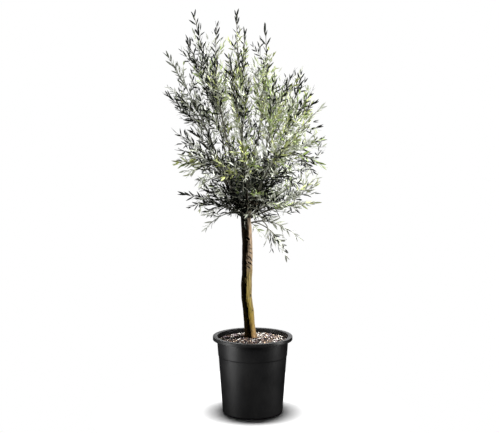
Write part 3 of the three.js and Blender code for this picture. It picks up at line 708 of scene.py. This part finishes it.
# what share of its shoots a mass keeps where the crown is looser
thinned = {
    "low_left": 0.2, "front_low": 0.2, "back_low": 0.2, "right_hanging": 0.4, "outer_left": 0.8,
    "tall_left": 0.68, "inner_left": 0.55, "middle_left": 0.58, "back_left": 0.34, "back_side": 0.36,
    "front_left": 0.5, "front_upper": 0.6, "leader": 0.8, "back": 0.45, "back_right": 0.65, "front": 0.55,
    "low_front_left": 0.4, "low_back_left": 0.3, "low_front_right": 0.4, "low_back_right": 0.35,
    "right_low": 0.75, "back_corner": 0.65, "front_right": 0.75, "right_tall": 0.75, "right_inner": 0.75,
    "centre_right": 0.85,
}
# masses that the trunk's strong light and the mix's own pass through
letThrough = ("right_hanging", "right_low")


def bendTo(start, leave, tip):
    control = start + leave * np.linalg.norm(tip - start) * stem["leave"]
    return start, control, tip - unit(tip - control) * stem["short"]


def massCarriers(row):
    carrier, _, _, *tips = row
    tips = [np.array(t) * mm for t in tips]
    if carrier in boughs:
        start, leave = pointOn(bends[carrier], 1), alongOn(bends[carrier], 1)
        start = start - leave * stem["overlap"]
        radius = boughs[carrier][3] * mm * boughShape["taper"]
    else:
        start = trunkCentre(carrier * mm)
        leave = unit((tips[0] - start) * (1, 1, 0))
        leave = unit(leave + np.array((0, 0, stem["lift"])))
        radius = stem["onTrunk"]
    main = bendTo(start, leave, tips[0])
    carriers = [(main, radius)]
    for tip, fork in zip(tips[1:], stem["forks"]):
        origin = pointOn(main, fork)
        turn = unit(lerp(alongOn(main, fork), unit(tip - origin), stem["lean"]))
        carriers.append((bendTo(origin, turn, tip), radius * stem["side"]))
    return carriers


def segmentsOf(bend, count):
    points = pointOn(bend, np.linspace(0, 1, count + 1))
    return points[:-1], points[1:]


# stems, limbs and the trunk in short lengths, with the mass that owns each, or -1, and its radius
def makeSpaces(carriers):
    rows = []
    for index, group in enumerate(carriers.values()):
        rows += [(*segmentsOf(bend, space["samples"]), index, 0) for bend, _ in group]
    for name, row in boughs.items():
        rows.append((*segmentsOf(bends[name], space["samples"]), -1, row[3] * mm))
    line = trunkLine[::space["trunkStride"]]
    rows.append((line[:-1], line[1:], -1, trunk["head"]))
    starts, ends, owners, radii = zip(*rows)
    counts = [len(part) for part in starts]
    starts, ends = np.concatenate(starts), np.concatenate(ends)
    return starts, ends - starts, np.repeat(owners, counts), np.repeat(radii, counts)


def inOwnSpace(places, index, spaces, margin=space["margin"]):
    starts, runs, owners, radii = spaces
    clear = np.empty(len(places), bool)
    batch = space["batch"]
    for k in range(0, len(places), batch):
        part = places[k:k + batch]
        off = part[:, None] - starts[None]
        share = np.clip((off * runs).sum(2) / (runs ** 2).sum(1), 0, 1)
        gap = np.linalg.norm(off - share[..., None] * runs, axis=2) - radii
        good = gap[:, owners < 0].min(1) > space["limbGap"]
        if index is not None:
            own = gap[:, owners == index].min(1)
            good &= own + margin < gap[:, (owners != index) & (owners >= 0)].min(1)
        clear[k:k + batch] = good
    return clear


def frameOf(along):
    helper = np.where(np.abs(along[..., 2:]) < 0.9, np.array((0, 0, 1.0)), np.array((1.0, 0, 0)))
    across = unit(np.cross(along, helper))
    return across, np.cross(across, along)


def leaveAt(along, angle, bearing):
    across, over = frameOf(along)
    return along * np.cos(angle)[:, None] + np.sin(angle)[:, None] * (
        across * np.cos(bearing)[:, None] + over * np.sin(bearing)[:, None])


def growOn(parents, rule, habit, reach, index, spaces, random, thin=1):
    angle0, spread, rise = habits[habit]
    angle0, spread = rule.get("angles", (angle0, spread))
    rows = []
    for bend, length, start in parents:
        count = max(1, round(thin * length * (rule["to"] - rule["from"]) / rule["spacing"]))
        steps = (np.arange(count) + around(random, 0.5, growth["placeSpread"], count)) / count
        shares = lerp(rule["from"], rule["to"], steps)
        vigour = lerp(rule["first"], rule["last"], shares)
        full = reach * (vigour * around(random, 1, rule["lengthSpread"], count))
        if "free" not in rule:
            full = np.minimum(full, length * (1 - shares) + rule["least"])
        angle = np.radians(angle0 + spread * random.random(count))
        bearing = growth["goldenAngle"] * np.arange(count)
        bearing = np.radians(bearing + around(random, start, growth["turnSpread"], count))
        rows.append((pointOn(bend, shares), leaveAt(alongOn(bend, shares), angle, bearing), full))
    root, leave, full = (np.concatenate(part) for part in zip(*rows))
    found = np.zeros(len(root), bool)
    length = np.zeros(len(root))
    up = np.array((0, 0, 1.0))
    for cut in growth["cuts"]:
        trial = full * cut
        bend = (root, root + leave * trial[:, None] / 2, root + (leave + rise * up) * trial[:, None])
        clear = np.ones(len(root), bool)
        for test in growth["tests"]:
            clear &= inOwnSpace(pointOn(bend, np.full(len(root), test)), index, spaces)
        take = clear & ~found & (trial >= rule["least"])
        length[take] = trial[take]
        found |= take
    root, leave, length = root[found], leave[found], length[found][:, None]
    a, b, c = root, root + leave * length / 2, root + (leave + rise * up) * length
    return [((a[k], b[k], c[k]), float(length[k, 0])) for k in range(len(root))]


# leaves: opposite pairs, each pair a quarter turn on, with a folded, slightly arched lens of a blade

leaf = {
    "length": 31 * mm, "width": 5.6 * mm, "lengthSpread": 0.25, "thick": 0.5 * mm, "pair": 20 * mm,
    "stemPair": 17 * mm, "angle": 40, "tipAngle": 27, "angleSpread": 20, "turnSpread": 45,
    "stagger": 3 * mm, "roll": 58, "rollSpread": 32, "lastAt": 0.99, "endAngle": 0.55,
    "onStem": 1.42, "darkSprays": 1.1, "fold": 0.17, "arch": 0.1, "archSpread": (0.6, 0.9),
    "stations": (0.07, 0.24, 0.5, 0.78), "widths": (0.16, 0.74, 1.0, 0.66), "widest": 2,
    "sunk": 0.5 * mm, "lastPair": 0.85, "scales": (1, 0.68), "roughness": (0.5, 0.75), "dull": 0.6,
}

# tones: the upper and the under side of a leaf, how often a spray has them, plain and in a young patch
# (the young chances also lean a little onto the right side, as painted light), and the upper side's shine
tones = {
    # deepOlive's near-black, on both sides, is partly the leaves' dark green and partly painted shade
    "deepOlive": ((0.007, 0.009, 0.006), (0.016, 0.02, 0.014), 0.48, 0.18, 0.1),
    "greyGreen": ((0.11, 0.125, 0.085), (0.34, 0.36, 0.3), 0.03, 0.03, 0.2),
    "sage": ((0.54, 0.565, 0.46), (0.82, 0.84, 0.77), 0.35, 0.2, 0.2),
    "freshGreen": ((0.24, 0.32, 0.09), (0.42, 0.48, 0.26), 0.09, 0.3, 0.2),
    "youngYellow": ((0.36, 0.4, 0.13), (0.5, 0.54, 0.28), 0.05, 0.29, 0.2),
    # heartShade is painted shade: near-black leaves for the crown's heart
    "heartShade": ((0.003, 0.004, 0.003), (0.006, 0.007, 0.005), 0.0, 0.0, 0.02),
}

# where sprays are young: across and height in mm, and the patch's radius; sprays on the right side also lean
# a little to the young, brighter tones as painted light
youngAndLit = {
    "patches": [
        (-60, 1500, 150), (15, 1440, 140), (-110, 1420, 100), (133, 1306, 130), (240, 1315, 120),
        (180, 1206, 100), (-12, 1162, 60), (250, 1030, 75), (272, 886, 60), (60, 800, 60),
    ],
    "gain": 1.8, "paintedLightOnRight": 0.12,
}


def youngAndLitAt(place):
    inside = max(1 - math.hypot(place[0] / mm - x, place[2] / mm - z) / r for x, z, r in youngAndLit["patches"])
    # the right side's share is painted light: brighter young tones where the light from the right falls
    return min(1, max(0, inside * youngAndLit["gain"])) + youngAndLit["paintedLightOnRight"] * (place[0] > 0)


# the crown's heart, where every spray gets the near-black heartShade tone as painted shade: its middle and
# radii
heart = {"middle": (-0.038, 0.0, 0.918), "radii": (0.064, 0.3, 0.05)}


def inHeart(place):
    return np.linalg.norm((place - np.array(heart["middle"])) / heart["radii"]) < 1


def pickTone(place, random):
    # sprays in the heart take the painted-shade tone
    if inHeart(place):
        return len(tones) - 1
    share = min(1, youngAndLitAt(place))
    chance = np.array([lerp(plain, young, share) for _, _, plain, young, _ in tones.values()])
    return int(random.choice(len(tones), p=chance / chance.sum()))


def makeLeafMaterials():
    materials = []
    smooth, rough = leaf["roughness"]
    for name, (upper, under, _, _, shine) in tones.items():
        materials.append(newMaterial(name + "LeafTop", upper, smooth, shine))
        materials.append(newMaterial(name + "LeafUnderside", under, rough, leaf["dull"] * shine))
    return materials


def placeLeaves(bend, length, leafyFrom, tone, random, large=1, pair=leaf["pair"]):
    count = max(1, round(length * (1 - leafyFrom) / pair))
    steps = np.repeat(np.arange(count + 1), 2)
    total = len(steps)
    shares = lerp(leafyFrom, leaf["lastAt"], steps / count)
    quarter = np.radians(90 * steps + 180 * (np.arange(total) % 2))
    bearing = quarter + np.radians(around(random, 0, leaf["turnSpread"], total))
    opening = lerp(leaf["angle"], leaf["tipAngle"], shares)
    angle = np.radians(around(random, opening, leaf["angleSpread"], total))
    shares = np.clip(shares + around(random, 0, leaf["stagger"] / length, total), 0, leaf["lastAt"])
    angle = np.where(steps == count, angle * leaf["endAngle"], angle)
    along = alongOn(bend, shares)
    direction = leaveAt(along, angle, bearing)
    large = max(large, leaf["darkSprays"]) if tone == 0 else large
    size = large * around(random, 1, leaf["lengthSpread"], total)
    size = size * lerp(1, leaf["lastPair"], shares ** 3)
    return pointOn(bend, shares) - direction * leaf["sunk"], direction, along, size, np.full(total, tone)


def leafPoints(root, direction, facing, size, random):
    side = unit(np.cross(facing, direction))
    face = np.cross(direction, side)
    roll = np.radians(around(random, leaf["roll"], leaf["rollSpread"], len(root)))[:, None]
    roll = roll * random.choice((-1, 1), len(root))[:, None]
    side, face = side * np.cos(roll) + face * np.sin(roll), face * np.cos(roll) - side * np.sin(roll)
    long = leaf["length"] * size
    arch = leaf["arch"] * around(random, *leaf["archSpread"], len(root))
    rows = [(0, 0, 0), (1, 0, 0)]
    for x, w in zip(leaf["stations"], leaf["widths"]):
        rows += [(x, w / 2, 0), (x, -w / 2, 0), (x, 0, 1), (x, 0, -1)]
    points = []
    for x, w, tier in rows:
        wide = w * leaf["width"] * size
        lift = -arch * long * x * x
        lift = lift + (leaf["fold"] * np.abs(wide) if tier == 0 else tier * leaf["thick"] / 2)
        points.append(root + direction * (x * long)[:, None] + side * wide[:, None] + face * lift[:, None])
    return np.stack(points, 1)


def leafFaces():
    top, under = [], []
    for k in range(len(leaf["stations"])):
        left, right, high, low = (2 + 4 * k + n for n in range(4))
        if k == 0:
            top += [(0, right, high), (0, high, left)]
            under += [(0, low, right), (0, left, low)]
        if k == len(leaf["stations"]) - 1:
            top += [(1, high, right), (1, left, high)]
            under += [(1, right, low), (1, low, left)]
        else:
            nextLeft, nextRight, nextHigh, nextLow = left + 4, right + 4, high + 4, low + 4
            top += [(right, nextRight, nextHigh, high), (high, nextHigh, nextLeft, left)]
            under += [(low, nextLow, nextRight, right), (left, nextLeft, nextLow, low)]
    return top, under


def shapeLeaves(rows, index, spaces, random):
    root, direction, facing, size, tone = (np.concatenate(part) for part in zip(*rows))
    points = leafPoints(root, direction, facing, size, random)
    keep = np.zeros(len(points), bool)
    widest = 2 + 4 * leaf["widest"]
    for scale in leaf["scales"]:
        trial = root[:, None] + (points - root[:, None]) * scale
        tip, belly = trial[:, 1], trial[:, widest:widest + 2].mean(1)
        fits = inOwnSpace(tip, index, spaces, space["leafMargin"]) & ~keep
        fits &= inOwnSpace(belly, index, spaces, space["leafMargin"])
        points[fits] = trial[fits]
        keep |= fits
    return points[keep], tone[keep]


def makeLeaves(name, rows, innerRows, index, spaces, materials, random):
    points, tone = shapeLeaves(rows, index, spaces, random)
    if innerRows:
        morePoints, moreTone = shapeLeaves(innerRows, None, spaces, random)
        points, tone = np.concatenate([points, morePoints]), np.concatenate([tone, moreTone])
    top, under = leafFaces()
    offset = points.shape[1]
    faces, slots = [], []
    for k in range(len(points)):
        faces += [tuple(offset * k + i for i in face) for face in top + under]
        slots += [2 * tone[k]] * len(top) + [2 * tone[k] + 1] * len(under)
    piece = meshPiece("leaves_" + name, points.reshape(-1, 3), faces, slots, materials)
    return dress(piece, "foliage", "foliage_" + name), len(points)


def tubeArrays(bend, base, tip, steps, sides):
    shares = np.linspace(0, 1, steps + 1)
    centres, along = pointOn(bend, shares), alongOn(bend, shares)
    across, over = frameOf(along)
    turn = np.arange(sides) * math.tau / sides
    radius = lerp(base, tip, shares)[:, None, None]
    ring = across[:, None] * np.cos(turn)[None, :, None] + over[:, None] * np.sin(turn)[None, :, None]
    points = (centres[:, None] + ring * radius).reshape(-1, 3)
    faces = []
    for s in range(steps):
        for k in range(sides):
            a, b = s * sides + k, s * sides + (k + 1) % sides
            faces.append((a, b, b + sides, a + sides))
    faces.append(tuple(range(sides))[::-1])
    faces.append(tuple(steps * sides + k for k in range(sides)))
    return points, faces


def makeTwigs(name, tubes, materials):
    points, faces, slots, count = [], [], [], 0
    for bend, base, tip, steps, sides, kind in tubes:
        p, f = tubeArrays(bend, base, tip, steps, sides)
        points.append(p)
        faces += [tuple(i + count for i in face) for face in f]
        slots += [kind] * len(f)
        count += len(p)
    piece = meshPiece("twigs_" + name, np.concatenate(points), faces, slots, materials)
    piece.data.shade_smooth()
    return dress(piece, "bark", "foliage_" + name)


def tubesOf(shoots, rule):
    return [(bend, rule["base"], rule["tip"], rule["steps"], rule["sides"], 1) for bend, _ in shoots]


def makeCrown():
    carriers = {name: massCarriers(row) for name, row in masses.items()}
    spaces = makeSpaces(carriers)
    leafMaterials = makeLeafMaterials()
    twigMaterials = [
        newMaterial("stemBark", (0.15, 0.145, 0.115), 0.85, 0.2),
        newMaterial("shootBark", (0.42, 0.43, 0.34), 0.75, 0.2),
    ]
    total, hangingPieces = 0, []
    for index, (name, row) in enumerate(masses.items()):
        random = np.random.default_rng(growth["seed"] + index)
        carrier, habit, reach = row[0], row[1], row[2] * mm
        stems = [(bend, lengthOf(bend), growth["stemTurn"] * k) for k, (bend, _) in enumerate(carriers[name])]
        shoots = growOn(stems, shootRule, habit, reach, index, spaces, random, thinned.get(name, 1))
        parents = [(*shoot, growth["shootTurn"]) for shoot in shoots if shoot[1] > shootRule["twigsOver"]]
        twigs = growOn(parents, twigRule, habit, reach, index, spaces, random) if parents else []
        tubes = [(bend, base, stem["tip"], stem["steps"], stem["sides"], 0) for bend, base in carriers[name]]
        tubes += tubesOf(shoots, shootRule) + tubesOf(twigs, twigRule)
        rows = []
        for bend, length, _ in stems:
            if habit == "rising":
                tone = int(random.choice(len(stem["risingTones"]), p=stem["risingTones"]))
            else:
                tone = pickTone(bend[2], random)
            sprays = (leaf["onStem"], leaf["stemPair"])
            rows.append(placeLeaves(bend, length, stem["leafyFrom"], tone, random, *sprays))
        for grown, rule in ((shoots, shootRule), (twigs, twigRule)):
            for bend, length in grown:
                tone = pickTone(pointOn(bend, growth["toneAt"]), random)
                rows.append(placeLeaves(bend, length, rule["leafyFrom"], tone, random))
        innerRows = []
        if carrier in boughs:
            limb = bends[carrier]
            inner = growOn([(limb, lengthOf(limb), 0)], innerRule, habit, reach, None, spaces, random)
            tubes += tubesOf(inner, innerRule)
            for bend, length in inner:
                place = pointOn(bend, growth["toneAt"])
                colored = inHeart(place) or random.random() < innerRule["colored"]
                # inner sprays left uncoloured take deepOlive, partly painted shade inside the crown
                tone = pickTone(place, random) if colored else 0
                innerRows.append(placeLeaves(bend, length, innerRule["leafyFrom"], tone, random))
        twigsPiece = makeTwigs(name, tubes, twigMaterials)
        leavesPiece, count = makeLeaves(name, rows, innerRows, index, spaces, leafMaterials, random)
        total += count
        if name in letThrough:
            hangingPieces += [twigsPiece, leavesPiece]
    print("the crown has", total, "leaves")
    return hangingPieces


# studio: a white background for the camera alone, a pale floor, strong lights from the right, soft fills

studio = {
    "cameraPlace": (-0.0139, -3.8, 1.167), "cameraDown": 4.57, "lens": 63.2, "sensor": 36,
    "floorRadius": 0.7, "floorSteps": 96, "background": 1.0, "glowDepth": 0.6,
}


def makeStudio(potPiece, barkPiece, hangingPieces, *groundPieces):
    bm = bmesh.new()
    steps, radius = studio["floorSteps"], studio["floorRadius"]
    bmesh.ops.create_circle(bm, cap_ends=True, segments=steps, radius=radius)
    floor = newPiece("studioFloor", bm, [newMaterial("paleFloor", (0.9, 0.9, 0.9), 0.9, 0.1)])
    floor.visible_diffuse = False
    floor.visible_glossy = False
    world = bpy.data.worlds.new("studioWorld")
    bpy.context.scene.world = world
    world.use_nodes = True
    background = world.node_tree.nodes["Background"].inputs
    background["Color"].default_value = (1, 1, 1, 1)
    background["Strength"].default_value = studio["background"]
    world.cycles_visibility.diffuse = False
    world.cycles_visibility.glossy = False
    for piece in groundPieces:
        piece.visible_diffuse = False  # the mix throws no light up on the trunk's dark side
    notCrown = [floor, potPiece, barkPiece, *groundPieces]
    addLight("keyFromRight", (3.5, -0.1, 3.2), (0, 0, 1.1), 0.4, 600, skip=notCrown)
    addLight("crownLeft", (-4.2, -0.6, 2.4), (0, 0, 1.2), 2.6, 75, skip=notCrown)
    addLight(
        "lowKeyFromRight", (3.0, -0.02, 1.7), (0, 0, 0.6), 0.2, 300, only=[barkPiece], through=hangingPieces)
    addLight("barkFromLeft", (-3.0, 0.8, 1.3), (0, 0, 0.6), 1.0, 9, only=[barkPiece])
    addLight("softFront", (0.6, -4.2, 2.6), (0, 0, 1.0), 2.6, 4, skip=[floor, barkPiece])
    addLight("softBack", (0.5, 4.2, 2.6), (0, 0, 1.0), 2.6, 45, skip=[floor])
    addLight("overhead", (0.0, 0.0, 5.0), (0, 0, 0), 3.5, 130, skip=[floor, barkPiece])
    addLight("crownFill", (-0.8, -4.0, 2.2), (0, 0, 1.3), 3.0, 104, skip=notCrown)
    addLight(
        "soilFromRight", (0.42, -0.05, 0.8), (0, 0, 0.35), 0.1, 13, only=groundPieces, through=hangingPieces)
    glow =addLight("floorGlow", (0.0, 0.1, 3.4), (0, 0.1, 0), 1.3, 190, only=[floor], blockers=[potPiece])
    glow.data.shape = "RECTANGLE"
    glow.data.size_y = studio["glowDepth"]
    addLight("potLeft", (-1.3, -0.5, 0.1), (0, 0, 0.15), 0.8, 10, only=[potPiece])
    addLight("potRight", (1.5, -0.35, 0.25), (0, 0, 0.2), 0.3, 7, only=[potPiece])
    addLight("potFront", (-0.2, -2.1, 2.3), (0, 0, 0.2), 1.0, 32, only=[potPiece])
    camera = bpy.data.objects.new("camera", bpy.data.cameras.new("camera"))
    camera.data.lens = studio["lens"]
    camera.data.sensor_width = studio["sensor"]
    camera.location = studio["cameraPlace"]
    camera.rotation_euler = (math.radians(90 - studio["cameraDown"]), 0, 0)
    bpy.context.scene.collection.objects.link(camera)
    bpy.context.scene.camera = camera
    bpy.context.scene.view_settings.view_transform = "Standard"


def listOf(name, pieces, state):
    held = bpy.data.collections.new(name)
    for piece in pieces:
        held.objects.link(piece)
    for row in held.collection_objects:
        row.light_linking.link_state = state
    return held


# only or skip: the pieces it lights or leaves out; blockers or through: those that stop it or don't
def addLight(name, place, target, size, power, only=(), skip=(), blockers=(), through=()):
    light = bpy.data.objects.new(name, bpy.data.lights.new(name, "AREA"))
    light.data.size = size
    light.data.energy = power
    light.location = place
    aim = Vector(target) - Vector(place)
    light.rotation_euler = aim.to_track_quat("-Z", "Y").to_euler()
    bpy.context.scene.collection.objects.link(light)
    linking = light.light_linking
    linking.receiver_collection = listOf(name + "Lit", only or skip, "INCLUDE" if only else "EXCLUDE")
    if blockers or through:
        linking.blocker_collection = listOf(
            name + "Shade", blockers or through, "INCLUDE" if blockers else "EXCLUDE")
    return light


potPiece = makePot()
mixPiece = makeMix()
chipsPiece = makeChips()
bends = {}
for limbName, limbRow in boughs.items():
    bends[limbName] = boughBend(limbRow, bends)
barkPiece = makeBark()
hangingPieces = makeCrown()
makeStudio(potPiece, barkPiece, hangingPieces, mixPiece, chipsPiece)
